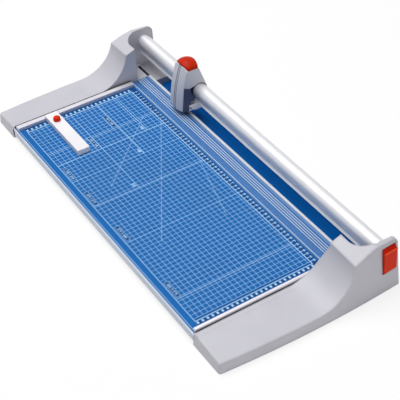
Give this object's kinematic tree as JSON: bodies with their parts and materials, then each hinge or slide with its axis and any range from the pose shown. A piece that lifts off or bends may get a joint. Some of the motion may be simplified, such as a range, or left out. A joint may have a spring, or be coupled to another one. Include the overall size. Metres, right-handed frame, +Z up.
{
  "type": "rotary paper trimmer",
  "caption": "Desk-top rotary paper trimmer: gridded table between end blocks, sliding cutting head on a round rail, clear hold-down strip and a side fence with a stop.",
  "frame": {"origin": "on the desk, under the middle of the machine's overall box", "axes": "+X along the cut, to the operator's right; +Y from the operator to the back; +Z up"},
  "size_m": [0.8666, 0.376, 0.1455],
  "materials": {
    "block_grey": "fine-grained light grey moulding",
    "table_blue": "blue coat with a pale printed grid",
    "tray_blue": "plain deep blue coat",
    "trim_grey": "satin pale grey",
    "fence_grey": "satin anodised",
    "steel": "bright zinc",
    "blade_steel": "ground and polished",
    "bearer_steel": "grey coat",
    "rubber": "matte black",
    "red": "orange-red, smooth",
    "clear": "clear, polished",
    "bush_plastic": "plain dark",
    "stop_white": "smooth white",
    "rail_silver": "silver anodised, drawn lines along its length",
    "head_grey": "fine-grained light grey moulding",
    "carrier_dark": "plain charcoal"
  },
  "bodies": {
    "base": {"table_plate": "table_blue", "front_trim": "trim_grey", "base_tray": "tray_blue", "knife_bar": "tray_blue", "counter_blade": "steel", "knife_screws": "steel", "left_fence": "fence_grey", "right_fence": "fence_grey", "fence_screws": "steel", "left_bearer": "bearer_steel", "right_bearer": "bearer_steel", "bearer_screws": "steel", "clamp_bushes": "bush_plastic", "left_end_block": "block_grey", "right_end_block": "block_grey", "left_base_cover": "block_grey", "right_base_cover": "block_grey", "cover_screws": "steel", "rubber_feet": "rubber", "latch_pins": "steel", "guide_rail": "rail_silver", "left_rail_plug": "bush_plastic", "right_rail_plug": "bush_plastic", "rail_bolts": "steel"},
    "clamp": {"clamp_strip": "clear", "clamp_pins": "steel", "clamp_springs": "steel"},
    "stop": {"stop_bar": "stop_white", "stop_jaw": "stop_white"},
    "knob": {"stop_knob": "red", "stop_screw": "steel"},
    "head": {"head_shell_left": "head_grey", "head_shell_right": "head_grey", "head_spine": "head_grey", "head_cap": "red", "left_rail_bush": "bush_plastic", "right_rail_bush": "bush_plastic", "blade_carrier": "carrier_dark", "blade_guard": "head_grey", "blade_axle": "steel", "axle_nut": "steel", "spring_washer": "steel", "head_screws": "steel"},
    "cutter": {"blade": "blade_steel", "blade_hub": "blade_steel"},
    "latch_right": {"right_latch": "red"},
    "latch_left": {"left_latch": "red"}
  },
  "joints": [
    {"name": "head_slide", "type": "slide", "parent": "base", "child": "head", "axis": [1, 0, 0], "range_m": [-0.165, 0.571]},
    {"name": "blade_spin", "type": "hinge", "parent": "head", "child": "cutter", "pos_m": [-0.203, 0.1436, 0.042], "axis": [0, 1, 0], "continuous": true},
    {"name": "stop_slide", "type": "slide", "parent": "base", "child": "stop", "axis": [0, 1, 0], "range_m": [-0.058, 0.165]},
    {"name": "stop_knob_turn", "type": "hinge", "parent": "stop", "child": "knob", "pos_m": [-0.311, -0.105, 0.04], "axis": [0, 0, 1], "range_deg": [-60, 60]},
    {"name": "clamp_lift", "type": "slide", "parent": "base", "child": "clamp", "axis": [0, 0, 1], "range_m": [0, 0.003], "stiffness_N_per_m": 600, "springref_m": -0.005, "deforming": ["clamp_springs"]},
    {"name": "latch_right_swing", "type": "hinge", "parent": "base", "child": "latch_right", "pos_m": [0.42206, 0.16402, 0.0454], "axis": [-0.0622, 0.9981, 0], "range_deg": [0, 20]},
    {"name": "latch_left_swing", "type": "hinge", "parent": "base", "child": "latch_left", "pos_m": [-0.42206, 0.16402, 0.0454], "axis": [-0.0622, -0.9981, 0], "range_deg": [0, 20]}
  ]
}
